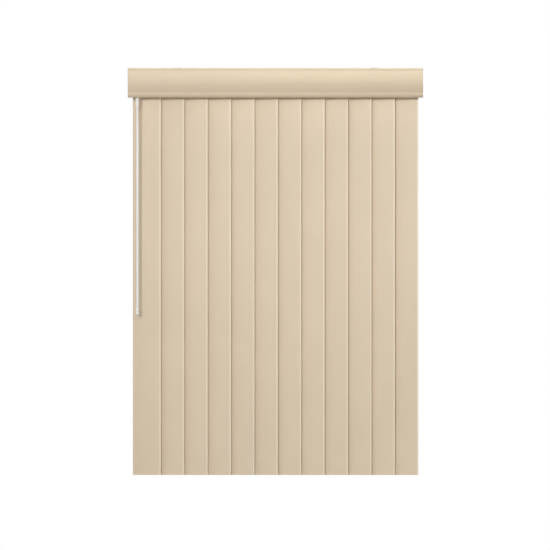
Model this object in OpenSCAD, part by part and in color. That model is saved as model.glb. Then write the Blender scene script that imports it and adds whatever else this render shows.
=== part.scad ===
// Vertical blind, in millimetres. Vanes hang from geared carriers that roll along a slotted head rail.
// A wand on the lead carrier draws them across, and turning it tilts every vane through one rod.
// Origin: middle of the bracket screw holes on the mounting face. X along the rail, -Y to the room.

/* [Blind] */
// Number of vanes
vane_count = 12; // [8:1:12]
// Spacing of the vanes when drawn across
vane_pitch = 73; // [62:1:84]
// Spacing of the vanes when stacked at one end
stack_pitch = 18; // [17:0.5:24]
// Height from the mounting face to the foot of the vanes
drop = 1270; // [1000:10:2400]
// Angle of a closed vane to the rail
closed_angle = 10; // [8:1:20]

/* [Vanes] */
// Width of a vane
vane_w = 89; // [76:1:127]
// Thickness of the vinyl
vane_t = 0.8; // [0.6:0.1:1.2]
// Rise of the curved face across the width
vane_crown = 2; // [1:0.25:4]
// Width of the punched hole
hole_w = 14; // [12:1:18]
// Height of the punched hole
hole_h = 5; // [4:0.5:8]
// Vinyl left above the hole
hole_edge = 6; // [4:0.5:10]

/* [Head rail] */
// Width of the rail across its walls
rail_w = 44; // [43:1:60]
// Height of the rail
rail_h = 34; // [32:1:45]
// Wall of the rail
rail_wall = 1.4; // [1:0.1:2]
// Width of the slot along the underside
rail_slot = 16; // [15:1:20]
// Overhang of the top lips that the brackets grip
rail_lip = 2.5; // [2:0.25:4]
// Height of the ribs beside the slot
rail_rib = 1; // [0.6:0.1:1.5]
// Thickness of an end cap
cap_t = 3; // [2:0.5:6]
// Length of an end cap's plug inside the rail
cap_plug = 10; // [9:1:16]

/* [Carriers] */
// Radius of a stem's shaft
stem_r = 3; // [2.5:0.1:3.4]
// Radius of a roller
roller_r = 4.5; // [3.5:0.1:5]
// Width of a roller
roller_w = 2.4; // [1.6:0.1:3]
// Width of a spacer link
link_w = 6; // [4:0.5:8]
// Thickness of a spacer link
link_t = 0.4; // [0.3:0.05:0.5]

/* [Tilt gear] */
// Module of the worm and pinion
gear_module = 1; // [0.85:0.05:1.1]
// Teeth on a stem's pinion
gear_teeth = 9; // [8:1:10]
// Pitch radius of the worm
worm_r = 4.7; // [4.5:0.1:5]
// Radius of the tilt rod
rod_r = 2.5; // [2:0.1:2.6]

/* [Valance] */
// Height of the valance
valance_h = 92; // [80:1:130]
// Bulge of its face
valance_bulge = 10; // [4:0.5:16]
// Height of the flat band above the bowed face
top_band = 10; // [8:1:16]
// Height of the band below the bowed face, with its rolled edge
foot_band = 18; // [14:1:24]
// How far the bowed face stands out from the bands at its own edges
bow_step = 1; // [0.5:0.25:3]
// Wall of the valance
valance_t = 2.2; // [1.6:0.1:3]
// Depth of the lips along its edges
valance_lip = 12.5; // [9:0.5:16]
// Outer radius of its upper edge
top_round = 3; // [2.5:0.25:5]
// Height of its rolled lower edge
foot_roll = 9.5; // [6:0.5:11]
// Outer radius of the roll
foot_round = 16.5; // [14:0.5:20]
// Thickness of an end piece
end_t = 3; // [2:0.5:5]
// Number of clips that hold the valance
clip_count = 3; // [2:1:5]

/* [Wand] */
// Height from the mounting face to the foot of the wand
wand_drop = 771; // [400:1:950]
// Distance of the wand beyond the first vane's axis
wand_offset = 29; // [22:1:36]
// Radius of the wand's rod
wand_r = 3.5; // [3:0.25:5]
// Wall of the connector around the rod
connector_wall = 2; // [1:0.25:2.5]
// Length of the connector below the valance
connector_show = 30; // [20:1:50]
// Length of the wand's tip
tip_len = 21; // [18:1:40]
// Swell of the tip beyond the rod
tip_swell = 2; // [1.4:0.1:4]

/* [Brackets] */
// Width of a bracket along the rail
bracket_w = 28; // [20:1:40]
// Thickness of a bracket's steel
bracket_t = 2; // [1.75:0.25:3]
// Distance from a bracket's middle to the end of the valance
bracket_inset = 150; // [110:5:180]
// Radius of the screw holes
screw_r = 2.25; // [1.75:0.25:3]

/* [Clearances] */
// Fit of shafts, pins and snapped pieces
fit = 0.15; // [0.1:0.05:0.25]
// Gap around the gears
gear_gap = 0.4; // [0.3:0.05:0.6]
// Gap that a carrier slides with
slide_gap = 0.4; // [0.3:0.05:0.6]

/* [Hidden] */
$fn = 48;
over = 1; // how far a cutter passes the face it cuts

// Levels, from the mounting face down
rail_top = -bracket_t;
rail_ceiling = rail_top - rail_wall;
rail_bottom = rail_top - rail_h;
rail_track = rail_bottom + rail_wall;
arm_gap = 2.2;
arm_h = 8.5;
arm_top = rail_bottom - arm_gap;
arm_bottom = arm_top - arm_h;
vane_top = arm_bottom - 3.3;
hole_top = vane_top - hole_edge;

// Vanes
vane_len = drop + vane_top;
vane_bow_r = (pow(vane_w / 2, 2) + pow(vane_crown, 2)) / (2 * vane_crown);
sweep_r = norm([vane_w / 2, vane_crown]);

// Worm and pinion
gear_pitch = PI * gear_module;
addendum = 0.7 * gear_module;
dedendum = gear_module;
tooth_t = 0.36 * gear_pitch;
tooth_tip_t = tooth_t - 2 * addendum * tan(20);
tooth_root_t = tooth_t + 2 * dedendum * tan(20);
pinion_r = gear_module * gear_teeth / 2;
pinion_tip_r = pinion_r + addendum;
pinion_root_r = pinion_r - dedendum;
pinion_face = 5;
worm_tip_r = worm_r + addendum;
worm_root_r = worm_r - dedendum;
worm_len = 2.5 * gear_pitch;
journal_r = rod_r + fit + 1;
rod_y = pinion_r + worm_r;

// Carriers
carrier_gap = 1.5;
carrier_t = stack_pitch - carrier_gap;
carrier_half_w = rail_w / 2 - rail_wall - slide_gap - roller_w - slide_gap;
link_slope = 0.04;
link_len = vane_pitch + 3;
link_bed = 0.2;
channel_depth = link_len * link_slope + link_t + slide_gap;
channel_half_w = link_w / 2 + 1;
carrier_top = rail_ceiling - slide_gap;
channel_floor = carrier_top - channel_depth;
cavity_top = channel_floor - 1.5;
cavity_half = pinion_tip_r + gear_gap;
rod_z = cavity_top - gear_gap - worm_tip_r;
cavity_bottom = rod_z - worm_tip_r - gear_gap;
carrier_bottom = rail_track + rail_rib + slide_gap;
axle_z = rail_track + fit + roller_r;
tie_h = 6;
tie_lift = 2;
neck_r = stem_r + fit + 1.8;
neck_bottom = rail_bottom - 1.5;

// Wand, placed outside the circle that the first vane sweeps
arm_r = 9;
connector_r = wand_r + connector_wall;
wand_y = -sqrt(pow(sweep_r + connector_r + 1.7, 2) - pow(wand_offset, 2));
spindle_r = 3;
flange_r = 5.2;
flange_t = 1.4;
joint_r = 3;
joint_t = 3;
joint_gap = 0.25;
cheek_t = 1.9;
pin_r = 1.25;
pin_span = 8;

// Valance, in front of the wand
valance_top = rail_top;
valance_bottom = valance_top - valance_h;
lip_y = wand_y - connector_r - 8.1;
face_y = lip_y - valance_lip;
bow_half = (valance_h - top_band - foot_band) / 2;
bow_z = valance_top - top_band - bow_half;
bow_rise = valance_bulge - bow_step;
face_r = (pow(bow_half, 2) + pow(bow_rise, 2)) / (2 * bow_rise);
roll_y = face_y + sqrt(pow(foot_round, 2) - pow(foot_round - foot_roll, 2));
roll_z = valance_bottom + foot_round;
hook_h = 5;
least_round = 0.3;
return_y = rail_w / 2;
swing_z = valance_bottom + 16;
sway_z = swing_z - pin_span;
connector_bottom = valance_bottom - connector_show;
connector_top = sway_z - joint_r - 0.6;
socket_len = 14;
rim_r = 1.5;
rim_swell = 0.6;
rim_lift = 0.3;
tip_foot = -wand_drop;
tip_dome = 3;
tip_shoulder = tip_foot + tip_len * 2 / 3;
tip_top = tip_foot + tip_len;
tip_socket = tip_foot + tip_dome + 4;
tip_r = wand_r + tip_swell;
tip_groove = 0.6;
tip_neck_r = wand_r + 0.9;

// Lengths along the rail, from the lead carrier's reach or the first vane's sweep
stop_gap = 2.5;
rail_gap = 2;
lead_reach = wand_offset + arm_r;
end_stack = cap_t + rail_gap + end_t;
end_margin = max(lead_reach + stop_gap + cap_plug + end_stack, sweep_r + stop_gap + end_t);
valance_w = (vane_count - 1) * vane_pitch + 2 * end_margin;
rail_len = valance_w - 2 * end_stack;
plug_x = rail_len / 2 - cap_plug;
bearing_depth = 8;

// Brackets and clips
bracket_x = valance_w / 2 - bracket_inset;
lip_half = rail_w / 2 + rail_lip + fit;
screw_y = lip_half + bracket_t + 5;
clip_t = 1.5;
clip_w = 20;
clip_reach = 6;
clip_span = valance_w - 2 * (bracket_inset + bracket_w / 2 + clip_w / 2 + 36);

vinyl = "#dfcdb1";
white = "#eeebe4";
nylon = "#f4f2ec";
steel = "#d9d9d6";

function node_name(part, i) = str(part, i < 10 ? "_0" : "_", i);
function vane_x(i) = (i - (vane_count + 1) / 2) * vane_pitch;
function polar(r, a) = [r * cos(a), r * sin(a)];
function mix(a, b, t) = a + (b - a) * t;

ROW = ["carrier", "worm", "stem", "vane"];

// A box between limits on each axis
module box(x, y, z) {
    translate([x[0], y[0], z[0]]) cube([x[1] - x[0], y[1] - y[0], z[1] - z[0]]);
}

// A rectangle between limits
module rect(a, b) {
    translate([a[0], b[0]]) square([a[1] - a[0], b[1] - b[0]]);
}

// An upright cylinder between two levels
module post(z, r) {
    translate([0, 0, z[0]]) cylinder(h = z[1] - z[0], r = r);
}

module pin_x(x, r) {
    translate([x[0], 0, 0]) rotate([0, 90, 0]) cylinder(h = x[1] - x[0], r = r);
}

module pin_y(y, r) {
    translate([0, y[1], 0]) rotate([90, 0, 0]) cylinder(h = y[1] - y[0], r = r);
}

// Carries a section drawn in Y and Z along the rail
module along_x(length) {
    rotate([90, 0, 90]) linear_extrude(length, center = true) children();
}

module both_ends() {
    children();
    mirror([1, 0, 0]) children();
}

// Head rail

module rail_section() {
    inner = rail_w / 2 - rail_wall;
    difference() {
        union() {
            rect([-rail_w / 2, rail_w / 2], [rail_bottom, rail_top]);
            rect([-rail_w / 2 - rail_lip, rail_w / 2 + rail_lip], [rail_ceiling, rail_top]);
        }
        rect([-inner, inner], [rail_track, rail_ceiling]);
        rect([-rail_slot / 2, rail_slot / 2], [rail_bottom - over, rail_track + over]);
    }
    for (side = [-1, 1])
        translate([side * (rail_slot + rail_wall) / 2, 0])
            rect([-rail_wall / 2, rail_wall / 2], [rail_track - rail_wall / 2, rail_track + rail_rib]);
}

module headrail() {
    color(white) along_x(rail_len) rail_section();
}

module rail_end_cap() {
    plug_half = rail_w / 2 - rail_wall - fit;
    plug_z = [rail_track + rail_rib + fit, rail_ceiling - fit];
    pocket_wall = 1.6;
    plug = [plug_x, rail_len / 2];
    difference() {
        union() {
            difference() {
                union() {
                    box([rail_len / 2, rail_len / 2 + cap_t], [-rail_w / 2, rail_w / 2],
                        [rail_bottom, rail_top]);
                    box([plug_x, rail_len / 2 + over], [-plug_half, plug_half], plug_z);
                }
                for (side = [-1, 1])
                    translate([0, side * plug_half / 2, 0])
                        box([plug_x - over, rail_len / 2],
                            [pocket_wall - plug_half / 2, plug_half / 2 - pocket_wall],
                            [plug_z[0] + pocket_wall, plug_z[1] - pocket_wall]);
            }
            translate([0, rod_y, rod_z]) pin_x([plug_x, rail_len / 2 + over], journal_r);
        }
        translate([0, rod_y, rod_z]) pin_x([plug_x - over, plug_x + bearing_depth], rod_r + fit);
    }
}

module rail_end_caps() {
    color(white) both_ends() rail_end_cap();
}

// A bracket's hook around one lip of the rail
module grip(t) {
    hook = rail_ceiling - fit;
    rect([lip_half, lip_half + t], [hook - t, rail_top + t]);
    rect([rail_w / 2 + fit, lip_half + t], [hook - t, hook]);
}

module mounting_bracket() {
    half = screw_y + 6;
    difference() {
        along_x(bracket_w) {
            rect([-half, half], [-bracket_t, 0]);
            grip(bracket_t);
            mirror([1, 0]) grip(bracket_t);
        }
        for (side = [-1, 1])
            translate([0, side * screw_y, 0]) post([-bracket_t - over, over], screw_r);
    }
}

module mounting_brackets() {
    color(steel) both_ends() translate([bracket_x, 0, 0]) mounting_bracket();
}

// Tilt rod, with four flutes that key it to the worms

module rod_section(gap) {
    flute_r = 0.9;
    difference() {
        circle(rod_r + gap);
        for (a = [45 : 90 : 315])
            translate(polar(rod_r + gap + 0.3, a)) circle(flute_r);
    }
}

module tilt_rod() {
    half = plug_x + bearing_depth - over / 2;
    color(steel) translate([-half, rod_y, rod_z]) rotate([0, 90, 0])
        linear_extrude(2 * half) rod_section(0);
}

// Carriers

module carrier_rollers() {
    for (side = [-1, 1]) {
        wheel = side * (carrier_half_w + slide_gap + roller_w / 2);
        translate([0, wheel, axle_z]) pin_y([-roller_w / 2, roller_w / 2], roller_r);
        translate([0, side * carrier_half_w, axle_z]) pin_y([-slide_gap - over, slide_gap + over], 1.6);
    }
}

// The lead carrier's gearbox, and the arm that carries the wand forward under the rail
module lead_drive() {
    slot_half = rail_slot / 2 - 1;
    box([-lead_reach, 0], [-carrier_half_w, carrier_half_w], [carrier_bottom, carrier_top]);
    translate([-wand_offset, 0, 0]) {
        carrier_rollers();
        box([-6, 6], [-slot_half, slot_half], [arm_bottom, carrier_bottom + over]);
        translate([0, 0, arm_bottom]) linear_extrude(arm_h) hull() {
            translate([0, wand_y]) circle(arm_r, $fn = 32);
            circle(slot_half, $fn = 32);
        }
    }
}

// The last carrier's tie to the end cap, which fixes the end that the vanes stack at
module tail_tie() {
    foot = carrier_bottom + tie_lift;
    box([0, plug_x - vane_x(vane_count)], [-link_w / 2, link_w / 2], [foot, foot + tie_h]);
}

module carrier(i) {
    lead = i == 1;
    half = carrier_t / 2;
    left = lead ? lead_reach : half;
    cut_x = [-left - over, half + over];
    color(nylon) translate([vane_x(i), 0, 0]) {
        difference() {
            union() {
                box([-half, half], [-carrier_half_w, carrier_half_w], [carrier_bottom, carrier_top]);
                post([neck_bottom, carrier_bottom + over], neck_r);
                carrier_rollers();
                if (lead) lead_drive();
                if (i == vane_count) tail_tie();
            }
            box(cut_x, [-channel_half_w, channel_half_w], [channel_floor, carrier_top + over]);
            box([-cavity_half, cavity_half], [-cavity_half, carrier_half_w + over],
                [cavity_bottom, cavity_top]);
            translate([0, rod_y, rod_z]) {
                pin_x([-half - over, half + over], journal_r + fit);
                box([-half - over, half + over], [0, rail_w / 2], [-0.85 * journal_r, 0.85 * journal_r]);
                if (lead) pin_x(cut_x, rod_r + gear_gap);
            }
            post([neck_bottom - over, cavity_bottom + over], stem_r + fit);
            post([cavity_top - over, channel_floor + over], cavity_half);
            if (lead)
                translate([-wand_offset, wand_y, 0])
                    post([arm_bottom - over, arm_top + over], spindle_r + fit);
        }
        if (i > 1) spacer_link();
    }
}

// A flat link bedded in the channel floor. It rises to the left, so stacked links lie like shingles.
module spacer_link() {
    bed_x = carrier_t / 2;
    bed_z = channel_floor - link_bed - bed_x * link_slope;
    rotate([90, 0, 0]) linear_extrude(link_w, center = true)
        polygon([
            [bed_x, bed_z],
            [bed_x, bed_z + link_t],
            [-link_len, bed_z + link_t + (bed_x + link_len) * link_slope],
            [-link_len, bed_z + (bed_x + link_len) * link_slope]
        ]);
}

// Worm: a one-start thread wound round a sleeve that slides on the tilt rod

module thread_section() {
    tip_a = 180 * tooth_tip_t / gear_pitch;
    root_a = 180 * tooth_root_t / gear_pitch;
    flank = [for (t = [0 : 1 / 3 : 1]) polar(mix(worm_tip_r, worm_root_r, t), mix(tip_a, root_a, t))];
    floor_points = [for (t = [0.25 : 0.25 : 0.75]) polar(worm_root_r, mix(root_a, 360 - root_a, t))];
    back = [for (k = [3 : -1 : 0]) [flank[k][0], -flank[k][1]]];
    polygon(concat([[worm_tip_r, 0]], flank, floor_points, back));
}

module worm(i) {
    turn = 360 * worm_len / gear_pitch;
    hub = [-cavity_half + gear_gap / 2, cavity_half - gear_gap / 2];
    color(white) translate([vane_x(i), rod_y, rod_z]) rotate([0, 90, 0]) difference() {
        union() {
            translate([0, 0, -worm_len / 2]) rotate(90 - turn / 2)
                linear_extrude(worm_len, twist = -turn, slices = 20, segments = 12) thread_section();
            post(hub, worm_root_r + 0.2);
            post([-carrier_t / 2, carrier_t / 2], journal_r);
        }
        translate([0, 0, -carrier_t / 2 - over]) linear_extrude(carrier_t + 2 * over) rod_section(fit);
    }
}

// Stem: pinion, shaft and the clip that a vane hangs on

module pinion_section() {
    tip_a = tooth_tip_t / 2 / pinion_tip_r * 180 / PI;
    root_a = tooth_root_t / 2 / pinion_root_r * 180 / PI;
    corners = [
        [pinion_root_r, -root_a], [pinion_tip_r, -tip_a], [pinion_tip_r, tip_a], [pinion_root_r, root_a]
    ];
    polygon([
        for (k = [0 : gear_teeth - 1])
            for (c = corners) polar(c[0], c[1] + 90 + k * 360 / gear_teeth)
    ]);
}

module vane_clip() {
    prong_w = hole_w - 2;
    prong_t = 1.2;
    prong_len = hole_edge + hole_h + 5;
    inner = vane_t / 2 + fit;
    outer = inner + prong_t;
    nub_half = (hole_w - hole_h) / 2;
    box([-prong_w / 2, prong_w / 2], [-outer, outer], [vane_top + fit, vane_top + 6]);
    for (side = [0, 1])
        mirror([0, side, 0])
            box([-prong_w / 2, prong_w / 2], [inner, outer], [vane_top - prong_len, vane_top + 1]);
    box([-nub_half, nub_half], [-outer, inner - fit], [hole_top - hole_h + 2, hole_top]);
}

module stem(i) {
    pinion_bottom = rod_z - pinion_face / 2;
    color(nylon) translate([vane_x(i), 0, 0]) {
        translate([0, 0, pinion_bottom]) linear_extrude(pinion_face) pinion_section();
        post([cavity_bottom + fit, pinion_bottom + over], stem_r + 0.8);
        post([vane_top + 5, pinion_bottom + over], stem_r);
        post([vane_top + 5, neck_bottom - slide_gap], stem_r + 1.2);
        rotate(-closed_angle) vane_clip();
    }
}

// Vane: a bowed strip, drawn closed with its right edge to the room

module vane_section() {
    intersection() {
        translate([0, vane_bow_r - vane_t / 2]) difference() {
            circle(vane_bow_r, $fn = 720);
            circle(vane_bow_r - vane_t, $fn = 720);
        }
        square([vane_w, vane_w], center = true);
    }
}

module vane_hole() {
    r = hole_h / 2;
    straight = hole_w / 2 - r;
    translate([0, 0, hole_top - r]) {
        box([-straight, straight], [-vane_w / 2, vane_w / 2], [-r, r]);
        for (side = [-1, 1])
            translate([side * straight, 0, 0]) pin_y([-vane_w / 2, vane_w / 2], r);
    }
}

module vane(i) {
    color(vinyl) translate([vane_x(i), 0, 0]) rotate(-closed_angle) difference() {
        translate([0, 0, -drop]) linear_extrude(vane_len) vane_section();
        vane_hole();
    }
}

// Valance

// What is cut off above the rounded upper edge, inset from its outside
module top_cut(inset) {
    r = max(top_round - inset, least_round);
    corner = [face_y + inset, valance_top - inset];
    difference() {
        translate(corner) rect([-over, r], [-r, over]);
        translate(corner + [r, -r]) circle(r);
    }
}

// What is cut off below the roll, which starts at a crease in the face and ends level with the foot
module foot_cut(inset) {
    difference() {
        rect([face_y - over, roll_y], [valance_bottom - over, roll_z]);
        translate([roll_y, roll_z]) circle(foot_round - inset, $fn = 96);
    }
}

// Side view of the valance, inset from its outside: a bowed face between two bands, and lips of one depth
module valance_outline(depth, inset) {
    front = face_y + inset;
    z = [valance_bottom + inset, valance_top - inset];
    y = [face_y - valance_bulge - over, face_y + depth - inset];
    intersection() {
        union() {
            intersection() {
                translate([face_y + face_r - valance_bulge, bow_z]) circle(face_r - inset, $fn = 180);
                rect([y[0], front + over], [bow_z - bow_half + inset, bow_z + bow_half - inset]);
            }
            difference() {
                rect([front, face_y + depth + over], z);
                foot_cut(inset);
                top_cut(inset);
            }
        }
        rect(y, z);
    }
}

module valance() {
    hook = valance_t + hook_h;
    color(vinyl) along_x(valance_w - 2 * end_t) difference() {
        valance_outline(valance_lip, 0);
        valance_outline(valance_lip, valance_t);
        rect([lip_y - valance_lip / 2, lip_y + over], [valance_bottom + hook, valance_top - hook]);
    }
}

module valance_end() {
    plug_len = 6;
    plug_wall = 1.6;
    inset = valance_t + fit;
    translate([(valance_w - end_t) / 2, 0, 0]) along_x(end_t)
        valance_outline(return_y - face_y, 0);
    translate([valance_w / 2 - end_t - plug_len / 2 + over / 2, 0, 0])
        along_x(plug_len + over) difference() {
            valance_outline(valance_lip, inset);
            valance_outline(valance_lip, inset + plug_wall);
        }
}

module valance_ends() {
    color(vinyl) both_ends() valance_end();
}

// Clip: grips the rail's front lip, drops behind the valance and hooks into both of its lips

// A hook round the lip at one edge of the valance, with its web at the given level
module clip_hook(web, edge) {
    tongue_y = lip_y - valance_t - fit;
    rect([tongue_y - clip_t, lip_y + fit + clip_t], [web - clip_t / 2, web + clip_t / 2]);
    intersection() {
        rect([tongue_y - clip_t, tongue_y], [min(web, edge), max(web, edge)]);
        valance_outline(valance_lip, valance_t + fit);
    }
}

module valance_clip() {
    web_inset = valance_t + hook_h + fit + clip_t / 2;
    leg = [lip_y + fit, lip_y + fit + clip_t];
    along_x(clip_w) {
        rect(leg, [valance_bottom + web_inset, rail_top + clip_t]);
        rect([leg[0], clip_reach - rail_w / 2], [rail_top, rail_top + clip_t]);
        mirror([1, 0]) grip(clip_t);
        clip_hook(valance_top - web_inset, valance_top);
        clip_hook(valance_bottom + web_inset, valance_bottom);
    }
}

module valance_clips() {
    color(nylon)
        for (k = [0 : clip_count - 1])
            translate([clip_span * (k / (clip_count - 1) - 0.5), 0, 0]) valance_clip();
}

// Wand: spindle on the lead carrier's arm, a universal joint, connector, rod and tip

module at_wand() {
    translate([vane_x(1) - wand_offset, wand_y, 0]) children();
}

module wand_spindle() {
    shoulder = swing_z + joint_r + 2;
    blade_half = joint_r - 0.4;
    seat = arm_top + fit;
    color(nylon) at_wand() {
        post([seat, seat + flange_t], flange_r);
        post([shoulder, seat + over], spindle_r);
        difference() {
            union() {
                box([-joint_t / 2, joint_t / 2], [-blade_half, blade_half], [swing_z, shoulder + over]);
                translate([0, 0, swing_z]) pin_x([-joint_t / 2, joint_t / 2], joint_r);
            }
            translate([0, 0, swing_z]) pin_x([-joint_t, joint_t], pin_r + fit);
        }
    }
}

module wand_link() {
    inner = joint_t / 2 + joint_gap;
    outer = inner + cheek_t;
    web = [swing_z - joint_r - 1.4, swing_z - joint_r - joint_gap];
    color(nylon) at_wand() {
        difference() {
            union() {
                for (side = [0, 1])
                    mirror([side, 0, 0]) {
                        translate([0, 0, swing_z]) pin_x([inner, outer], joint_r);
                        box([inner, outer], [-joint_r, joint_r], [web[0], swing_z]);
                    }
                box([-outer, outer], [-joint_r, joint_r], web);
                box([-joint_r, joint_r], [-joint_t / 2, joint_t / 2], [sway_z, web[1]]);
                translate([0, 0, sway_z]) pin_y([-joint_t / 2, joint_t / 2], joint_r);
            }
            translate([0, 0, sway_z]) pin_y([-joint_t, joint_t], pin_r + fit);
        }
        translate([0, 0, swing_z]) pin_x([-outer, outer], pin_r);
    }
}

module wand_connector() {
    inner = joint_t / 2 + joint_gap;
    outer = inner + cheek_t;
    chamfer = 2;
    color(white) at_wand() {
        for (side = [0, 1])
            mirror([0, side, 0]) {
                translate([0, 0, sway_z]) pin_y([inner, outer], joint_r);
                box([-joint_r, joint_r], [inner, outer], [connector_top - over, sway_z]);
            }
        translate([0, 0, sway_z]) pin_y([-outer, outer], pin_r);
        difference() {
            union() {
                post([connector_bottom, connector_top - chamfer], connector_r);
                translate([0, 0, connector_top - chamfer])
                    cylinder(h = chamfer, r1 = connector_r, r2 = connector_r - chamfer / 2);
                translate([0, 0, connector_bottom + rim_r + rim_lift])
                    rotate_extrude() translate([connector_r + rim_swell - rim_r, 0]) circle(rim_r);
            }
            post([connector_bottom - over, connector_bottom + socket_len], wand_r + fit);
        }
    }
}

module wand_rod() {
    color(white) at_wand() post([tip_socket, connector_bottom + socket_len], wand_r);
}

// Tip: two beads with a groove between them, narrowing to the rod
module wand_tip() {
    bead_foot = tip_foot + tip_dome;
    dome = [for (a = [90 : -15 : 0]) [tip_r * cos(a), tip_foot + tip_dome * (1 - sin(a))]];
    beads = [
        for (t = [0.125 : 0.125 : 1])
            [tip_r - tip_groove * (1 - cos(360 * t)) / 2, mix(bead_foot, tip_shoulder, t)]
    ];
    neck = [
        for (t = [0.25 : 0.25 : 1])
            [mix(tip_r, tip_neck_r, (1 - cos(180 * t)) / 2), mix(tip_shoulder, tip_top, t)]
    ];
    color(white) at_wand() difference() {
        rotate_extrude() polygon(concat(dome, beads, neck, [[0, tip_top]]));
        post([tip_socket, tip_top + over], wand_r + fit);
    }
}

headrail();
rail_end_caps();
mounting_brackets();
tilt_rod();
valance();
valance_ends();
valance_clips();
wand_spindle();
wand_link();
wand_connector();
wand_rod();
wand_tip();
for (i = [1 : vane_count]) {
    carrier(i);
    worm(i);
    stem(i);
    vane(i);
}
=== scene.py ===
import math

import bmesh
import bpy
import numpy as np
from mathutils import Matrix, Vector


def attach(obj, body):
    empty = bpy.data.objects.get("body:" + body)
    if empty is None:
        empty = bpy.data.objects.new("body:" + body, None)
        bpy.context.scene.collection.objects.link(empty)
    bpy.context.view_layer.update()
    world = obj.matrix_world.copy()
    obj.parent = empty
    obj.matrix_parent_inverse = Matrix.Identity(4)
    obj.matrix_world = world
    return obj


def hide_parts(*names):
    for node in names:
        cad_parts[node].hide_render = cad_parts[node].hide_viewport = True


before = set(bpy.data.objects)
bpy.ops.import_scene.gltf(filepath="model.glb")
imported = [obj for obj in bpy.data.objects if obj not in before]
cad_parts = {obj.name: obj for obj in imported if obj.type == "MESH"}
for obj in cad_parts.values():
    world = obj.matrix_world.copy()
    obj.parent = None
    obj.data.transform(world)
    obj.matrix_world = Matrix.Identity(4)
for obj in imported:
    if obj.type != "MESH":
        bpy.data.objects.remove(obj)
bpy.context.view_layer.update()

# Mounting brackets
# Two short lengths of zinc plated steel strip, stamped and folded so that hooked edges grip the rail's
# lips. They are screwed upwards through two holes each, and the rail snaps into them from below.

MM = 0.001
SAME_POINT = 2e-6
SAME_PLANE = 0.004
SHARP = math.radians(35)
BRACKET_EDGE = 0.06
ZINC_TONES = ((0.34, 0.345, 0.35, 1), (0.44, 0.44, 0.435, 1))
DUST = (0.48, 0.45, 0.4, 1)


def eased(node, name, edge):
    """The CAD solid of a node with its sharp edges rounded by a radius in millimetres, as a die or a mould
    leaves them. The loose triangles are merged, flat ones are joined into faces, and a Bevel rounds the
    sharp edges."""
    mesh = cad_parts[node].data.copy()
    mesh.name = name
    shell = bmesh.new()
    shell.from_mesh(mesh)
    bmesh.ops.remove_doubles(shell, verts=shell.verts, dist=SAME_POINT)
    bmesh.ops.dissolve_limit(shell, angle_limit=SAME_PLANE, verts=shell.verts, edges=shell.edges)
    shell.to_mesh(mesh)
    shell.free()
    mesh.materials.clear()
    mesh.shade_smooth()
    mesh.set_sharp_from_angle(angle=SHARP)
    piece = bpy.data.objects.new(name, mesh)
    bpy.context.scene.collection.objects.link(piece)
    bevel = piece.modifiers.new("eased edges", "BEVEL")
    bevel.width = edge * MM
    bevel.segments = 2
    bevel.limit_method = "ANGLE"
    bevel.angle_limit = SHARP
    bevel.harden_normals = True
    return piece


def settle(piece, finish, body, node):
    """Gives a piece its finish, sets it on its body, and hides the CAD node it stands for."""
    piece.data.materials.append(finish)
    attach(piece, body)
    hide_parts(node)


def add(tree, kind, inputs, **settings):
    """A shader node. Each input is set by its name or number, to a value or to another node's output."""
    made = tree.nodes.new("ShaderNode" + kind)
    for name, value in settings.items():
        setattr(made, name, value)
    for key, value in inputs.items():
        if isinstance(value, bpy.types.NodeSocket):
            tree.links.new(value, made.inputs[key])
        else:
            made.inputs[key].default_value = value
    return made


def noise(tree, spot, scale, detail, roughness=0.5):
    """Noise at a place, from 0 to 1."""
    inputs = {"Vector": spot, "Scale": scale, "Detail": detail, "Roughness": roughness}
    return add(tree, "TexNoise", inputs).outputs[0]


def ranged(tree, value, inside, outside, **settings):
    """A value moved from one range (low, high) to another, and held at the ends."""
    inputs = {0: value, 1: inside[0], 2: inside[1], 3: outside[0], 4: outside[1]}
    return add(tree, "MapRange", inputs, **settings).outputs[0]


def reckon(tree, operation, a, b):
    """Two values put together by one operation."""
    return add(tree, "Math", {0: a, 1: b}, operation=operation).outputs[0]


def tint(tree, factor, a, b):
    """Colour a where the factor is 0, colour b where it is 1."""
    return add(tree, "Mix", {0: factor, 6: a, 7: b}, data_type="RGBA").outputs[2]


def effect(name, inputs, outputs):
    """An empty node group with named inputs and outputs, for an effect that several finishes share."""
    group = bpy.data.node_groups.new(name, "ShaderNodeTree")
    for label, kind, value in inputs:
        socket = group.interface.new_socket(label, in_out="INPUT", socket_type="NodeSocket" + kind)
        if value is not None:
            socket.default_value = value
    for label, kind in outputs:
        group.interface.new_socket(label, in_out="OUTPUT", socket_type="NodeSocket" + kind)
    return group, group.nodes.new("NodeGroupInput").outputs, group.nodes.new("NodeGroupOutput").inputs


def use(tree, group, **inputs):
    """Places a shared effect in a finish and returns its outputs."""
    return add(tree, "Group", inputs, node_tree=group).outputs


cloudy, given, out = effect(
    "cloudy tone",
    [
        ("Coordinates", "Vector", None),
        ("Scale", "Float", 20.0),
        ("Low", "Float", 0.0),
        ("High", "Float", 1.0),
    ],
    [("Value", "Float")],
)
clouds = noise(cloudy, given["Coordinates"], given["Scale"], detail=4.0, roughness=0.55)
cloudy.links.new(ranged(cloudy, clouds, (0.3, 0.7), (given["Low"], given["High"])), out["Value"])

drawn, given, out = effect(
    "drawn lines",
    [("Coordinates", "Vector", None), ("Density", "Vector", (1.0, 1.0, 1.0))],
    [("Height", "Float")],
)
stretched = add(drawn, "VectorMath", {0: given["Coordinates"], 1: given["Density"]}, operation="MULTIPLY")
drawn.links.new(noise(drawn, stretched.outputs[0], scale=1.0, detail=3.0, roughness=0.6), out["Height"])

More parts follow.
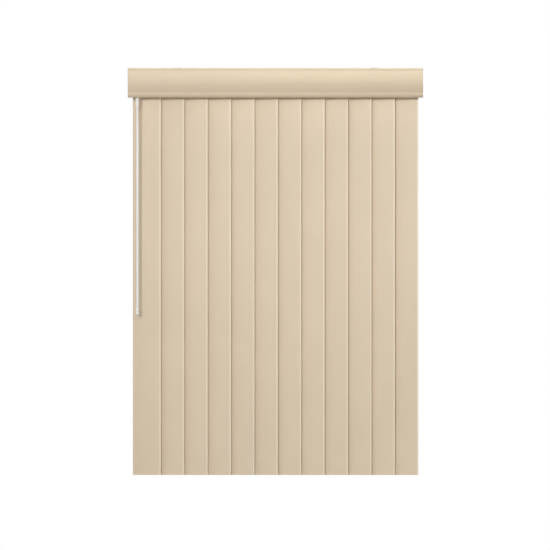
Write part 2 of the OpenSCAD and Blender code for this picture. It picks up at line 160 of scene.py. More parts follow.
dusty, given, out = effect(
    "settled dust",
    [("Coordinates", "Vector", None), ("Amount", "Float", 0.3)],
    [("Mask", "Float")],
)
facing = add(dusty, "SeparateXYZ", {0: add(dusty, "NewGeometry", {}).outputs["Normal"]})
upward = ranged(dusty, facing.outputs["Z"], (0.6, 0.98), (0.0, 1.0))
drift = noise(dusty, given["Coordinates"], scale=45.0, detail=6.0, roughness=0.7)
patchy = ranged(dusty, drift, (0.35, 0.7), (0.25, 1.0))
lain = reckon(dusty, "MULTIPLY", upward, patchy)
dusty.links.new(reckon(dusty, "MULTIPLY", lain, given["Amount"]), out["Mask"])


def blank_finish(name):
    """A material holding only a Principled shader, with its tree and its object coordinates."""
    finish = bpy.data.materials.new(name)
    finish.use_nodes = True
    tree = finish.node_tree
    shader = next(n for n in tree.nodes if n.type == "BSDF_PRINCIPLED")
    return finish, tree, shader, add(tree, "TexCoord", {}).outputs["Object"]


def paint(tree, shader, colour):
    """Feeds a colour into the shader's base colour."""
    tree.links.new(colour, shader.inputs["Base Color"])


def dusted(tree, spot, colour, amount):
    """A colour with dust laid over it on faces that look up."""
    return tint(tree, use(tree, dusty, Coordinates=spot, Amount=amount)["Mask"], colour, DUST)


def mottle(tree, shader, spot, scale, low, high):
    """Lets the roughness wander in clouds between a low and a high value."""
    patches = use(tree, cloudy, Coordinates=spot, Scale=scale, Low=low, High=high)
    tree.links.new(patches["Value"], shader.inputs["Roughness"])


def relief(tree, shader, height, depth, strength):
    """Feeds a height into the shader's normal through a Bump of a depth in millimetres."""
    bump = add(tree, "Bump", {"Height": height, "Distance": depth * MM, "Strength": strength})
    tree.links.new(bump.outputs["Normal"], shader.inputs["Normal"])


zinc, tree, shader, spot = blank_finish("zinc_plated_strip")
spangle = add(tree, "TexVoronoi", {"Vector": spot, "Scale": 240.0})
facet = add(tree, "SeparateColor", {0: spangle.outputs["Color"]}).outputs[0]
paint(tree, shader, dusted(tree, spot, tint(tree, facet, *ZINC_TONES), amount=0.35))
mottle(tree, shader, spot, scale=60.0, low=0.48, high=0.62)
shader.inputs["Metallic"].default_value = 0.9
rolled = use(tree, drawn, Coordinates=spot, Density=(60.0, 2600.0, 900.0))["Height"]
relief(tree, shader, rolled, depth=0.05, strength=0.35)

brackets = eased("mounting_brackets", "folded_brackets", BRACKET_EDGE)
settle(brackets, zinc, "head", "mounting_brackets")

# Head rail
# An aluminium extrusion, white powder coated: a box with a slot along its underside, a rib on each side of
# the slot for the rollers to run beside, and a lip along each top edge that the brackets grip.

RAIL = {"half": 22.0, "lip": 24.5, "slot": 8.0, "wall": 1.4, "end": 452.0}
LEVEL = {"top": -2.0, "ceiling": -3.4, "rib": -33.6, "floor": -34.6, "foot": -36.0}
COAT_TONES = ((0.83, 0.82, 0.79, 1), (0.88, 0.87, 0.84, 1))
TINY = 1e-9
SHORTEST_SIDE = 1e-4


def unit(rows):
    """Each row of an array brought to length 1."""
    return rows / np.maximum(np.linalg.norm(rows, axis=1, keepdims=True), TINY)


def rounded(corners, steps=5):
    """A closed outline with filleted corners. At each corner (a, b, radius) the two sides are left at
    radius / tan(half the angle), and the arc between is swung about the fillet's centre. A radius of 0
    keeps the corner itself."""
    corners = np.asarray(corners, float)
    point = corners[:, :2]
    radius = corners[:, 2:]
    back = unit(np.roll(point, 1, 0) - point)
    ahead = unit(np.roll(point, -1, 0) - point)
    half = np.arccos(np.clip((back * ahead).sum(1, keepdims=True), -1, 1)) / 2
    centre = point + unit(back + ahead) * radius / np.sin(half)
    first = (point + back * radius / np.tan(half) - centre)[:, None]
    last = (point + ahead * radius / np.tan(half) - centre)[:, None]
    sweep = (np.pi - 2 * half)[:, None]
    t = np.linspace(0, 1, steps)[None, :, None]
    arc = (np.sin((1 - t) * sweep) * first + np.sin(t * sweep) * last) / np.maximum(np.sin(sweep), TINY)
    line = (centre[:, None] + arc).reshape(-1, 2)
    return line[np.linalg.norm(line - np.roll(line, 1, 0), axis=1) > SHORTEST_SIDE]


def skin(name, points, quads, ends, crease=32):
    """A mesh object from an array of points in millimetres, an array of quads, and end faces with more
    corners. Edges bent by more than the crease, in degrees, are shaded sharp."""
    mesh = bpy.data.meshes.new(name)
    faces = np.asarray(quads).tolist() + [list(end) for end in ends]
    mesh.from_pydata((np.asarray(points) * MM).tolist(), [], faces)
    mesh.shade_smooth()
    mesh.set_sharp_from_angle(angle=math.radians(crease))
    piece = bpy.data.objects.new(name, mesh)
    bpy.context.scene.collection.objects.link(piece)
    return piece


def ringed(rows, columns):
    """Quads of a grid whose columns close on themselves, rows going up or along."""
    row, column = np.meshgrid(np.arange(rows - 1), np.arange(columns), indexing="ij")
    low = row * columns
    high = low + columns
    ahead = (column + 1) % columns
    return np.stack([low + column, low + ahead, high + ahead, high + column], -1).reshape(-1, 4)


def lids(rows, columns):
    """End faces of such a grid: its first ring turned over, and its last ring."""
    last = (rows - 1) * columns
    return [range(columns - 1, -1, -1), range(last, last + columns)]


def lofted(outlines, stations):
    """Points, quads and end faces of a solid along X. Each outline in Y and Z, anticlockwise seen from +X,
    stands at its station, and all have as many points."""
    outlines = np.asarray(outlines, float)
    rows, count = outlines.shape[:2]
    points = np.empty((rows, count, 3))
    points[:, :, 0] = np.asarray(stations, float)[:, None]
    points[:, :, 1:] = outlines
    return points.reshape(-1, 3), ringed(rows, count), lids(rows, count)


def extruded(name, outline, half, crease=32):
    """One outline carried along X from half a length left of the middle to half a length right of it."""
    return skin(name, *lofted([outline, outline], (-half, half)), crease)


def two_toned(tree, spot, tones, scale):
    """A colour that wanders in clouds between a darker and a lighter tone."""
    return tint(tree, use(tree, cloudy, Coordinates=spot, Scale=scale)["Value"], *tones)


inner = RAIL["half"] - RAIL["wall"]
rib = RAIL["slot"] + RAIL["wall"]
back_half = [
    (inner, LEVEL["ceiling"], 0.5),
    (inner, LEVEL["floor"], 0.5),
    (rib, LEVEL["floor"], 0.3),
    (rib, LEVEL["rib"], 0.3),
    (RAIL["slot"], LEVEL["rib"], 0.3),
    (RAIL["slot"], LEVEL["foot"], 0.4),
    (RAIL["half"], LEVEL["foot"], 0.9),
    (RAIL["half"], LEVEL["ceiling"], 0.3),
    (RAIL["lip"], LEVEL["ceiling"], 0.35),
    (RAIL["lip"], LEVEL["top"], 0.45),
]
rail_outline = rounded(back_half + [(-y, z, r) for y, z, r in reversed(back_half)])

powder_coat, tree, shader, spot = blank_finish("white_powder_coat")
white = two_toned(tree, spot, COAT_TONES, scale=9.0)
paint(tree, shader, dusted(tree, spot, white, amount=0.45))
mottle(tree, shader, spot, scale=140.0, low=0.34, high=0.46)
peel = noise(tree, spot, scale=1100.0, detail=2.0)
die = use(tree, drawn, Coordinates=spot, Density=(3.0, 700.0, 700.0))["Height"]
relief(tree, shader, reckon(tree, "ADD", peel, die), depth=0.04, strength=0.3)

settle(extruded("white_head_rail", rail_outline, RAIL["end"]), powder_coat, "head", "headrail")

# Carriers
# Moulded nylon blocks, one for each vane, that roll along inside the rail. The first has the wand's arm
# under the rail, the last is tied to the end cap, and thin flat links pull them one after another.

VANES = 12
LEAD_EDGE = 0.05
NYLON_TONES = ((0.78, 0.765, 0.71, 1), (0.86, 0.85, 0.8, 1))


def refinish(node, finish):
    """Gives a CAD node that keeps its own form another finish."""
    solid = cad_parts[node].data
    solid.materials.clear()
    solid.materials.append(finish)


nylon, tree, shader, spot = blank_finish("natural_nylon")
paint(tree, shader, two_toned(tree, spot, NYLON_TONES, scale=70.0))
mottle(tree, shader, spot, scale=220.0, low=0.36, high=0.52)
relief(tree, shader, noise(tree, spot, scale=3000.0, detail=2.0), depth=0.03, strength=0.3)

settle(eased("carrier_01", "lead_carrier", LEAD_EDGE), nylon, "carriage_01", "carrier_01")
for i in range(2, VANES + 1):
    refinish(f"carrier_{i:02d}", nylon)

# Worms
# Moulded acetal screws with one thread. Each slides on the tilt rod inside its carrier
# and turns the stem's pinion one ninth as fast as the rod turns.

ACETAL_TONES = ((0.8, 0.79, 0.75, 1), (0.87, 0.865, 0.84, 1))

acetal, tree, shader, spot = blank_finish("white_acetal")
paint(tree, shader, two_toned(tree, spot, ACETAL_TONES, scale=120.0))
mottle(tree, shader, spot, scale=300.0, low=0.26, high=0.4)

for i in range(1, VANES + 1):
    refinish(f"worm_{i:02d}", acetal)

# Stems
# Moulded nylon hangers. The pinion at the top sits in the carrier, the shaft comes down through the rail's
# slot, and the vane's punched hole snaps over a nub between the two prongs at the foot.

STEM_EDGE = 0.2

for i in range(1, VANES + 1):
    hanger = eased(f"stem_{i:02d}", f"hanger_{i:02d}", STEM_EDGE)
    settle(hanger, nylon, f"hanging_vane_{i:02d}", f"stem_{i:02d}")

# Tilt rod
# A drawn aluminium rod with four flutes, turned by the wand's gears. It is pushed through every worm, which
# slides along it and turns with it, and its ends run in the end caps' bearings.

ROD = {"y": 9.2, "z": -14.94, "radius": 2.5, "half": 449.5, "flute": 0.9, "flute_at": 2.8}
ROD_TONES = ((0.66, 0.67, 0.68, 1), (0.82, 0.82, 0.82, 1))


def fluted_outline(steps=96):
    """The rod's outline, a circle bitten by four small ones. Off being the angle from the nearest flute,
    the outline reaches to flute_at cos(off) - sqrt(flute^2 - (flute_at sin(off))^2) in a flute, and to the
    radius elsewhere."""
    turn = np.linspace(0, 2 * np.pi, steps, endpoint=False)
    off = np.abs(turn % (np.pi / 2) - np.pi / 4)
    inside = np.maximum(ROD["flute"] ** 2 - (ROD["flute_at"] * np.sin(off)) ** 2, 0)
    bite = np.where(inside > 0, ROD["flute_at"] * np.cos(off) - np.sqrt(inside), ROD["radius"])
    reach = np.minimum(bite, ROD["radius"])
    return np.stack([ROD["y"] + reach * np.cos(turn), ROD["z"] + reach * np.sin(turn)], 1)


drawn_metal, tree, shader, spot = blank_finish("drawn_aluminium")
scratch = use(tree, drawn, Coordinates=spot, Density=(6.0, 1800.0, 1800.0))["Height"]
paint(tree, shader, tint(tree, scratch, *ROD_TONES))
mottle(tree, shader, spot, scale=25.0, low=0.26, high=0.38)
shader.inputs["Metallic"].default_value = 1.0
relief(tree, shader, scratch, depth=0.03, strength=0.4)

settle(extruded("fluted_tilt_rod", fluted_outline(), ROD["half"]), drawn_metal, "rod", "tilt_rod")

# Rail end caps
# Moulded off-white plastic plugs that push into the ends of the rail and close it. Each holds a bearing for
# the tilt rod. The faces are finely sparked in the mould, so they are a little rough.

CAP_EDGE = 0.25
MOULDED_TONES = ((0.8, 0.78, 0.73, 1), (0.86, 0.845, 0.8, 1))

moulded, tree, shader, spot = blank_finish("moulded_off_white")
pale = two_toned(tree, spot, MOULDED_TONES, scale=35.0)
paint(tree, shader, dusted(tree, spot, pale, amount=0.35))
mottle(tree, shader, spot, scale=180.0, low=0.42, high=0.56)
relief(tree, shader, noise(tree, spot, scale=2400.0, detail=3.0), depth=0.05, strength=0.4)

settle(eased("rail_end_caps", "plugged_end_caps", CAP_EDGE), moulded, "head", "rail_end_caps")

# Vanes
# Strips of beige vinyl, extruded with a slight bow across their width, cut to length and punched near the
# top. Each hangs by its hole from a stem. Closed, the right edge of each stands in front of the next one.

PITCH = 73.0
CLOSED = math.radians(-10)
VANE = {"half": 44.5, "thick": 0.8, "crown": 2.0, "top": -50.0, "foot": -1270.0}
HOLE = {"z": -58.5, "radius": 2.5, "straight": 4.5}
HOLE_HALF = HOLE["straight"] + HOLE["radius"]
EVEN_ROWS = np.linspace(VANE["foot"], -90.0, 22)
ROWS_UNDER_HOLE = (-76.0, -66.0)
ROW_OVER_HOLE = -53.0
SLIGHT = 1e-6
# Where a painted highlight along each vane's right edge begins, how far it fades in, and how much of it is
# mixed in.
PAINTED_EDGE_HIGHLIGHT = {"from": 39.6, "over": 2.6, "share": 0.8}
BEIGE_TONES = ((0.69, 0.566, 0.404, 1), (0.725, 0.596, 0.428, 1))
STREAK_TONE = (0.745, 0.616, 0.448, 1)
# The paler colour of that painted highlight, standing in for the light a lit edge catches.
PAINTED_HIGHLIGHT_TONE = (0.93, 0.815, 0.655, 1)


def vane_section(hole_steps=7, plain_steps=14, edge_steps=5):
    """The vane's outline across, seen from above, and how many of its points lie on a face and on an edge.
    The front lies on a circle of radius (half^2 + crown^2) / (2 crown), the back on one smaller by the
    thickness, and a half circle of half the thickness closes each edge. Points stand closer together at the
    hole's ends."""
    rim = VANE["thick"] / 2
    big = (VANE["half"] ** 2 + VANE["crown"] ** 2) / (2 * VANE["crown"])
    hole_end = HOLE["straight"] + HOLE["radius"] * np.sin(np.linspace(0, np.pi / 2, hole_steps))
    plain = np.linspace(HOLE_HALF, VANE["half"] - rim, plain_steps + 1)[1:]
    right = np.concatenate([[0.0], hole_end, plain])
    u = np.concatenate([-right[:0:-1], right])
    front = np.stack([u, big - rim - np.sqrt(big**2 - u**2)], 1)
    back = np.stack([u, big - rim - np.sqrt((big - 2 * rim) ** 2 - u**2)], 1)
    middle = (front[-1] + back[-1]) / 2
    swell = np.linspace(0, np.pi, edge_steps + 2)[1:-1, None]
    edge = middle + (front[-1] - middle) * np.cos(swell) + np.array([[rim, 0.0]]) * np.sin(swell)
    return np.concatenate([front, edge, back[::-1], edge[::-1] * [-1, 1]]), len(u), len(edge)


def vane_mesh():
    """Points, quads, end faces and edge nearness of one vane standing on the Z axis, square to Y. Rows of
    the section rise from the foot to the hole's lower rim and from its upper rim to the top, the rim being
    the hole's middle less or plus sqrt(r^2 - (|u| - straight)^2). Beside the hole both rims are one row, so
    the skin is whole, and short walls join front to back round the hole. Edge nearness grows to 1 towards
    the right edge, and weighs the painted highlight that the vane's material lays there."""
    section, faced, edged = vane_section()
    across = len(section)
    past = np.maximum(np.abs(section[:, 0]) - HOLE["straight"], 0)
    opening = np.sqrt(np.maximum(HOLE["radius"] ** 2 - past**2, 0))
    low = np.concatenate([EVEN_ROWS, ROWS_UNDER_HOLE])
    rise = np.concatenate([
        np.repeat(low[:, None], across, 1),
        [HOLE["z"] - opening],
        [HOLE["z"] + opening],
        np.full((1, across), ROW_OVER_HOLE),
        np.full((1, across), VANE["top"]),
    ])
    rows = len(rise)
    points = np.concatenate([np.repeat(section[None], rows, 0), rise[:, :, None]], 2).reshape(-1, 3)

    place = np.arange(rows * across).reshape(rows, across)
    seam = len(low)
    whole = opening < SLIGHT
    place[seam + 1, whole] = place[seam, whole]
    beside = np.roll(place, -1, 1)
    faces = np.stack([place[:-1], beside[:-1], beside[1:], place[1:]], -1)
    faces = np.delete(faces, seam, 0).reshape(-1, 4)

    front = np.arange(faced)
    back = 2 * faced + edged - 1 - front
    rim = front[np.abs(section[:faced, 0]) < HOLE_HALF + SLIGHT][:-1]
    full = front[:-1]

    def bridge(row, k):
        """Quads from the front to the back along one row, for the given columns."""
        return np.stack([place[row, k], place[row, k + 1], place[row, back[k + 1]], place[row, back[k]]], -1)

    walls = [
        bridge(seam, rim),
        bridge(seam + 1, rim)[:, ::-1],
        bridge(rows - 1, full),
        bridge(0, full)[:, ::-1],
    ]
    right = np.arange(faced - 1, faced + edged + 1)
    left = np.concatenate([np.arange(2 * faced + edged - 1, across), [0]])
    ends = [place[rows - 1, right], place[rows - 1, left], place[0, right[::-1]], place[0, left[::-1]]]

    quads = np.concatenate([faces, *walls])
    used, number = np.unique(np.concatenate([quads.ravel(), *ends]), return_inverse=True)
    parts = np.split(number, np.cumsum([quads.size] + [len(end) for end in ends])[:-1])
    # Nearness to the right edge, which weighs the painted highlight there.
    near = np.clip((section[:, 0] - PAINTED_EDGE_HIGHLIGHT["from"]) / PAINTED_EDGE_HIGHLIGHT["over"], 0, 1)
    return points[used], parts[0].reshape(-1, 4), parts[1:], np.tile(near, rows)[used]


streaky, given, out = effect(
    "streaked beige",
    [("Coordinates", "Vector", None), ("Density", "Vector", (1.0, 1.0, 1.0))],
    [("Colour", "Color"), ("Height", "Float")],
)
beige = two_toned(streaky, given["Coordinates"], BEIGE_TONES, scale=6.0)
streaks = use(streaky, drawn, Coordinates=given["Coordinates"], Density=given["Density"])["Height"]
paler = ranged(streaky, streaks, (0.35, 0.65), (0.0, 0.35))
streaky.links.new(tint(streaky, paler, beige, STREAK_TONE), out["Colour"])
grain = noise(streaky, given["Coordinates"], scale=1500.0, detail=2.0)
streaky.links.new(reckon(streaky, "ADD", grain, streaks), out["Height"])

vinyl, tree, shader, spot = blank_finish("beige_vinyl")
beige = use(tree, streaky, Coordinates=spot, Density=(420.0, 420.0, 1.5))
# A paler colour is painted along each vane's right edge as a highlight.
edge = add(tree, "Attribute", {}, attribute_name="edge").outputs["Fac"]
painted_highlight = reckon(tree, "MULTIPLY", edge, PAINTED_EDGE_HIGHLIGHT["share"])
paint(tree, shader, tint(tree, painted_highlight, beige["Colour"], PAINTED_HIGHLIGHT_TONE))
mottle(tree, shader, spot, scale=50.0, low=0.42, high=0.54)
relief(tree, shader, beige["Height"], depth=0.03, strength=0.25)

points, quads, ends, near = vane_mesh()
cos = math.cos(CLOSED)
sin = math.sin(CLOSED)
closed = points @ np.array([[cos, sin, 0], [-sin, cos, 0], [0, 0, 1]])
for i in range(1, VANES + 1):
    middle = (i - (VANES + 1) / 2) * PITCH
    strip = skin(f"vinyl_vane_{i:02d}", closed + [middle, 0, 0], quads, ends)
    # The edge attribute carries the weight of the painted highlight on the right edge.
    strip.data.attributes.new("edge", "FLOAT", "POINT").data.foreach_set("value", near.astype(np.float32))
    settle(strip, vinyl, f"hanging_vane_{i:02d}", f"vane_{i:02d}")

# Valance clips
# Three hooks of the same moulded off-white plastic as the rail's end caps. They grip the rail's front lip,
# drop behind the valance, and hook into its upper and lower lips.

CLIP_EDGE = 0.25

settle(eased("valance_clips", "valance_hook_clips", CLIP_EDGE), moulded, "head", "valance_clips")

# Valance
# A beige vinyl extrusion that hides the rail and carriers from the front: a bowed face between two flat
# bands, with lips turned in along both edges. It is pushed onto the clips, and end pieces plug into it.

TOP = -2.0
FOOT = -94.0
FACE = -68.955
LIP = -56.455
WALL = 2.2
HOOK = 7.2
VALANCE_END = 457.0
TOP_ROUND = 3.0
BOW_TOP = -12.0
BOW_FOOT = -76.0
BULGE = 10.0
STEP = 1.0
ROLL_HEIGHT = 9.5
ROLL_RADIUS = 16.5

bow_middle = (BOW_TOP + BOW_FOOT) / 2
bow_half = (BOW_TOP - BOW_FOOT) / 2
bow_radius = (bow_half**2 + (BULGE - STEP) ** 2) / (2 * (BULGE - STEP))
bow_axis = FACE + bow_radius - BULGE
roll_y = FACE + math.sqrt(ROLL_RADIUS**2 - (ROLL_RADIUS - ROLL_HEIGHT) ** 2)
roll_z = FOOT + ROLL_RADIUS


def bow_points(inset, crease, edge, steps=41):
    """Points down the bow, inset from its outside: from the upper band out to the bow's edge, along a
    circle about the bow's axis, and back to the lower band. The crease and the edge have their own
    radii."""
    radius = bow_radius - inset
    half = bow_half - inset
    swing = np.arcsin(half / radius)
    angle = np.linspace(swing, -swing, steps)
    easing = np.zeros(steps)
    easing[[0, -1]] = edge
    arc = np.stack([bow_axis - radius * np.cos(angle), bow_middle + radius * np.sin(angle), easing], 1)
    upper = (FACE + inset, bow_middle + half, crease)
    lower = (FACE + inset, bow_middle - half, crease)
    return np.concatenate([[upper], arc, [lower]])


def roll_points(inset, start, stop, crease, edge, steps=17):
    """Points round the rolled lower edge on a circle about the roll's axis, inset from its outside, from
    one depth to another. The first point has the crease's radius and the last one the edge's."""
    radius = ROLL_RADIUS - inset
    turn = np.linspace(np.arccos((start - roll_y) / radius), np.arccos((stop - roll_y) / radius), steps)
    easing = np.zeros(steps)
    easing[[0, -1]] = crease, edge
    return np.stack([roll_y + radius * np.cos(turn), roll_z - radius * np.sin(turn), easing], 1)


lower_lip = [(LIP, FOOT + HOOK, 0.5), (LIP - WALL, FOOT + HOOK, 0.5)]
upper_lip = [
    (FACE + WALL, TOP - WALL, TOP_ROUND - WALL),
    (LIP - WALL, TOP - WALL, 0.3),
    (LIP - WALL, TOP - HOOK, 0.5),
    (LIP, TOP - HOOK, 0.5),
    (LIP, TOP, 0.5),
    (FACE, TOP, TOP_ROUND),
]
outer_roll = roll_points(0, FACE, LIP, crease=0.6, edge=0.4)
inner_roll = roll_points(WALL, LIP - WALL, FACE + WALL, crease=0.2, edge=0.3)
inner_bow = bow_points(WALL, crease=0.2, edge=0.2)[::-1]
outer_bow = bow_points(0, crease=0.25, edge=0.8)
valance_corners = np.concatenate([outer_roll, lower_lip, inner_roll, inner_bow, upper_lip, outer_bow])
valance_outline = rounded(valance_corners, steps=9)

panel, tree, shader, spot = blank_finish("beige_valance")
beige = use(tree, streaky, Coordinates=spot, Density=(1.5, 420.0, 420.0))
paint(tree, shader, dusted(tree, spot, beige["Colour"], amount=0.3))
mottle(tree, shader, spot, scale=50.0, low=0.68, high=0.78)
relief(tree, shader, beige["Height"], depth=0.03, strength=0.25)

valance = extruded("bowed_valance", valance_outline, VALANCE_END, crease=40)
settle(valance, panel, "head", "valance")

# Valance end pieces
# A pair of beige mouldings, glossier than the extrusion and rounded along their outer rims. Each has a
# plate that runs back beside the rail, and a plug on its inside that is pushed into the end of the valance.

END = {"inner": 457.0, "outer": 460.0, "back": 22.0, "round": 2.6, "plug": 451.0, "gap": 0.15}
PLATE_EASE = 0.2
PLUG_OVERLAP = 0.3
LEAST_ROUND = 0.2
ROUND_STEPS = 9


def end_outline(inset, back):
    """Side view of an end piece, inset from its outside: the roll, the foot as far as the given depth, the
    upper edge and the bow, with as many points for every inset."""
    radius = max(TOP_ROUND - inset, LEAST_ROUND)
    turn = np.linspace(np.pi / 2, np.pi, ROUND_STEPS)
    crest_y = FACE + inset + radius + radius * np.cos(turn)
    crest_z = TOP - inset - radius + radius * np.sin(turn)
    below = roll_points(inset, FACE + inset, min(back - inset, roll_y), crease=0, edge=0)[:, :2]
    rear = [(back - inset, TOP - inset)]
    if back - inset > roll_y:
        rear.insert(0, (back - inset, FOOT + inset))
    bow = bow_points(inset, crease=0, edge=0)[:, :2]
    return np.concatenate([below, rear, np.stack([crest_y, crest_z], 1), bow])


def end_plate():
    """Points, quads and end faces of the right plate, as outlines along X. The inner rim is lightly broken,
    and the outer rim is a quarter circle: the outline at outer - round (1 - sin a) is inset by
    round (1 - cos a)."""
    a = np.linspace(0, np.pi / 2, ROUND_STEPS)
    insets = np.concatenate([[PLATE_EASE, 0], END["round"] * (1 - np.cos(a))])
    inner = [END["inner"], END["inner"] + PLATE_EASE]
    along = np.concatenate([inner, END["outer"] - END["round"] * (1 - np.sin(a))])
    return lofted([end_outline(inset, END["back"]) for inset in insets], along)


end_moulding, tree, shader, spot = blank_finish("beige_moulding")
beige = use(tree, streaky, Coordinates=spot, Density=(60.0, 60.0, 60.0))
paint(tree, shader, dusted(tree, spot, beige["Colour"], amount=0.3))
mottle(tree, shader, spot, scale=90.0, low=0.2, high=0.28)
relief(tree, shader, beige["Height"], depth=0.02, strength=0.2)

plug_outline = end_outline(WALL + END["gap"], LIP)
plug = lofted([plug_outline, plug_outline], (END["plug"], END["inner"] + PLUG_OVERLAP))
points = []
quads = []
ends = []
start = 0
for side in (1, -1):
    for corners, squares, closings in (end_plate(), plug):
        points.append(corners * [side, 1, 1])
        quads.append(squares[:, ::side] + start)
        ends += [start + np.array(closing)[::side] for closing in closings]
        start += len(corners)
end_pieces = skin("valance_end_pieces", np.concatenate(points), np.concatenate(quads), ends)
settle(end_pieces, end_moulding, "head", "valance_ends")

# Wand joint
# The nylon spindle that comes down from the lead carrier's arm, and the small cross link that hangs on its
# fork. They make a universal joint, so the wand swings forwards and sideways and still turns the gears.

LINK_EDGE = 0.08

refinish("wand_spindle", nylon)
settle(eased("wand_link", "wand_joint_link", LINK_EDGE), nylon, "link", "wand_link")

# Wand connector
# A white acrylic moulding with a fork at its top for the cross link's pin.
# Its lower end is a socket that grips the wand's rod.

CONNECTOR_EDGE = 0.35
ACRYLIC_TONES = ((0.88, 0.86, 0.82, 1), (0.93, 0.915, 0.88, 1))

acrylic, tree, shader, spot = blank_finish("white_acrylic")
paint(tree, shader, two_toned(tree, spot, ACRYLIC_TONES, scale=30.0))
mottle(tree, shader, spot, scale=160.0, low=0.16, high=0.3)
pulled = use(tree, drawn, Coordinates=spot, Density=(900.0, 900.0, 4.0))["Height"]
relief(tree, shader, pulled, depth=0.02, strength=0.25)

settle(eased("wand_connector", "wand_socket", CONNECTOR_EDGE), acrylic, "wand", "wand_connector")

# Wand rod
# A straight round rod of white acrylic, extruded and cut to length, with its ends lightly broken.
# Its top is pushed up into the connector, and the tip covers its foot.

WAND = {"x": -430.5, "y": -42.855, "radius": 3.5, "top": -110.0, "foot": -764.0, "ease": 0.4}
WAND_ROWS = np.linspace(-740.0, -130.0, 24)


def turned(name, profile, around=48):
    """A profile of (radius, height) pairs, from the foot up, turned about the wand's axis: x and y are the
    axis plus radius times the cosine and sine of the turn. The first and last rings are closed."""
    profile = np.asarray(profile, float)
    rows = len(profile)
    angle = np.linspace(0, 2 * np.pi, around, endpoint=False)
    points = np.empty((rows, around, 3))
    points[:, :, 0] = WAND["x"] + profile[:, :1] * np.cos(angle)
    points[:, :, 1] = WAND["y"] + profile[:, :1] * np.sin(angle)
    points[:, :, 2] = profile[:, 1:]
    return skin(name, points.reshape(-1, 3), ringed(rows, around), lids(rows, around))


broken = WAND["radius"] - WAND["ease"]
rod_profile = np.concatenate([
    [(broken, WAND["foot"]), (WAND["radius"], WAND["foot"] + WAND["ease"])],
    np.stack([np.full(len(WAND_ROWS), WAND["radius"]), WAND_ROWS], 1),
    [(WAND["radius"], WAND["top"] - WAND["ease"]), (broken, WAND["top"])],
])
settle(turned("wand_shaft", rod_profile), acrylic, "wand", "wand_rod")

# Wand tip
# A moulded tip of the same white acrylic, pushed on the foot of the rod: a domed bead to hold,
# a shallow waist round its middle, and a neck that narrows towards the rod.

TIP = {"top": -750.0, "shoulder": -757.0, "bead": -768.0, "foot": -771.0}
TIP_RADIUS = 5.5
NECK_RADIUS = 4.4
WAIST = 0.6
TIP_EASE = 0.2
DOME_STEPS = 10
DOME_START = 0.08
SIDE_STEPS = 24


def tip_profile():
    """Radius and height of the tip from its foot up: a quarter of an ellipse for the dome, a waist that dips
    by one whole cosine wave, a neck that narrows by half a wave, and a lightly broken upper rim."""
    dome = np.linspace(DOME_START, np.pi / 2, DOME_STEPS)
    t = np.linspace(0, 1, SIDE_STEPS + 1)[1:]
    dome_z = TIP["bead"] + (TIP["foot"] - TIP["bead"]) * np.cos(dome)
    waist_r = TIP_RADIUS - WAIST * (1 - np.cos(2 * np.pi * t)) / 2
    waist_z = TIP["bead"] + (TIP["shoulder"] - TIP["bead"]) * t
    neck_r = TIP_RADIUS + (NECK_RADIUS - TIP_RADIUS) * (1 - np.cos(np.pi * t)) / 2
    neck_z = TIP["shoulder"] + (TIP["top"] - TIP_EASE - TIP["shoulder"]) * t
    return np.concatenate([
        np.stack([TIP_RADIUS * np.sin(dome), dome_z], 1),
        np.stack([waist_r, waist_z], 1),
        np.stack([neck_r, neck_z], 1),
        [(NECK_RADIUS - TIP_EASE, TIP["top"])],
    ])


settle(turned("wand_grip_tip", tip_profile()), acrylic, "wand", "wand_tip")

# Floor
# A plain pale matte disc well below the hanging blind. Seen directly it fades to white away from its
# middle, it keeps the shadow that falls on it, and it is clear from below.

FLOOR_LEVEL = -2050.0
FLOOR_RINGS = np.array([400.0, 1000.0, 2000.0, 3500.0, 5000.0])
FLOOR_SIDES = 96
FLOOR_TONE = (0.62, 0.62, 0.61, 1)
FADE_REACH = (2.2, 4.4)
FADE_SHARE = (0.55, 1.0)
WHITE = (1, 1, 1, 1)


def seen_directly(tree):
    """1 for rays from the camera and for mirrored or refracted ones, 0 for light that only falls on
    something."""
    path = add(tree, "LightPath", {}).outputs
    mirrored = reckon(tree, "MAXIMUM", path["Is Camera Ray"], path["Is Glossy Ray"])
    return reckon(tree, "MAXIMUM", mirrored, path["Is Transmission Ray"])


pale_floor, tree, matte, spot = blank_finish("pale_floor")
matte.inputs["Base Color"].default_value = FLOOR_TONE
matte.inputs["Roughness"].default_value = 0.8
away = add(tree, "VectorMath", {0: spot}, operation="LENGTH").outputs["Value"]
faded = ranged(tree, away, FADE_REACH, FADE_SHARE, interpolation_type="SMOOTHSTEP")
share = reckon(tree, "MULTIPLY", faded, seen_directly(tree))
glow = add(tree, "Emission", {"Color": WHITE, "Strength": 1.0}).outputs[0]
upper = add(tree, "MixShader", {0: share, 1: matte.outputs[0], 2: glow}).outputs[0]
under = add(tree, "NewGeometry", {}).outputs["Backfacing"]
clear = add(tree, "BsdfTransparent", {}).outputs[0]
open_below = add(tree, "MixShader", {0: under, 1: upper, 2: clear}).outputs[0]
surface = next(n for n in tree.nodes if n.type == "OUTPUT_MATERIAL").inputs["Surface"]
tree.links.new(open_below, surface)

angle = np.linspace(0, 2 * np.pi, FLOOR_SIDES, endpoint=False)
disc = np.empty((len(FLOOR_RINGS), FLOOR_SIDES, 3))
disc[:, :, 0] = np.outer(FLOOR_RINGS, np.cos(angle))
disc[:, :, 1] = np.outer(FLOOR_RINGS, np.sin(angle))
disc[:, :, 2] = FLOOR_LEVEL
upright = ringed(len(FLOOR_RINGS), FLOOR_SIDES)[:, ::-1]
floor = skin("floor", disc.reshape(-1, 3), upright, [range(FLOOR_SIDES)])
floor.data.materials.append(pale_floor)

# Lamps and air
# A far lamp and a near wide strip light the front, and weaker lamps stand to the left, above and behind.
# The air round the blind is white to look at and gives a little light from all sides.

AIR_LIGHT = 0.18


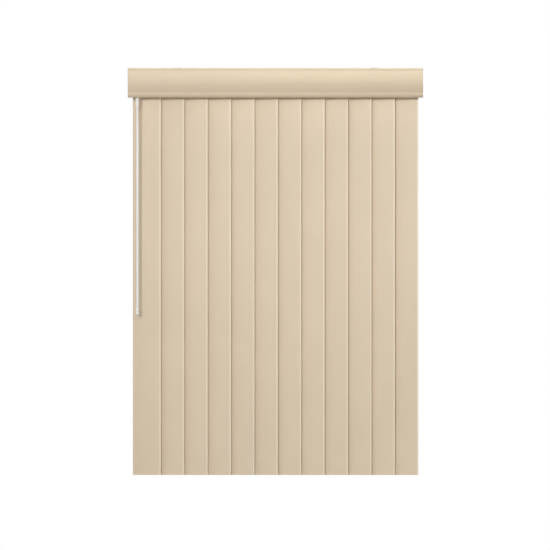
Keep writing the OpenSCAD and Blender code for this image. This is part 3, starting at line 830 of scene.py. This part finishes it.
def lamp(name, place, aim, size, power):
    """An area lamp of a width and a height at a place, facing a point."""
    light = bpy.data.lights.new(name, "AREA")
    light.shape = "RECTANGLE"
    light.size, light.size_y = size
    light.energy = power
    made = bpy.data.objects.new(name, light)
    bpy.context.scene.collection.objects.link(made)
    made.location = place
    made.rotation_euler = (Vector(aim) - Vector(place)).to_track_quat("-Z", "Y").to_euler()
    made.visible_camera = False


lamp("key", place=(-4.3, -19.33, 2.28), aim=(0, 0, -0.5), size=(2.0, 2.0), power=1080.0)
lamp("side", place=(-7.2, -3.4, 0.6), aim=(0, 0, -0.5), size=(3.2, 3.2), power=80.0)
lamp("front", place=(0.15, -2.2, 0.05), aim=(0.15, 0, 0.05), size=(3.2, 0.3), power=19.0)
lamp("overhead", place=(0.5, -0.47, 1.9), aim=(0.1, -0.07, -0.05), size=(0.6, 0.6), power=24.0)
lamp("behind", place=(2.6, 5.0, 0.3), aim=(0, 0, -0.6), size=(1.6, 1.6), power=150.0)

world = bpy.data.worlds.new("white_air")
bpy.context.scene.world = world
world.use_nodes = True
tree = world.node_tree
tree.nodes.clear()
soft = add(tree, "Background", {"Color": WHITE, "Strength": AIR_LIGHT}).outputs[0]
bright = add(tree, "Background", {"Color": WHITE, "Strength": 1.0}).outputs[0]
air = add(tree, "MixShader", {0: seen_directly(tree), 1: soft, 2: bright}).outputs[0]
tree.links.new(air, add(tree, "OutputWorld", {}).inputs["Surface"])

# Camera
# It stands far off, square to the blind, with a lens long enough to fill the picture with the given span.
# Colours are shown as they are, with no film curve.

DISTANCE = 30.0
VIEW_SPAN = 1.716
SENSOR = 36.0
VIEW_MIDDLE = (-0.0014, -0.646)

camera = bpy.data.objects.new("camera", bpy.data.cameras.new("camera"))
bpy.context.scene.collection.objects.link(camera)
camera.data.sensor_width = SENSOR
camera.data.lens = SENSOR * DISTANCE / VIEW_SPAN
camera.location = (VIEW_MIDDLE[0], -DISTANCE, VIEW_MIDDLE[1])
camera.rotation_euler = (math.pi / 2, 0.0, 0.0)
bpy.context.scene.camera = camera
bpy.context.scene.view_settings.view_transform = "Standard"
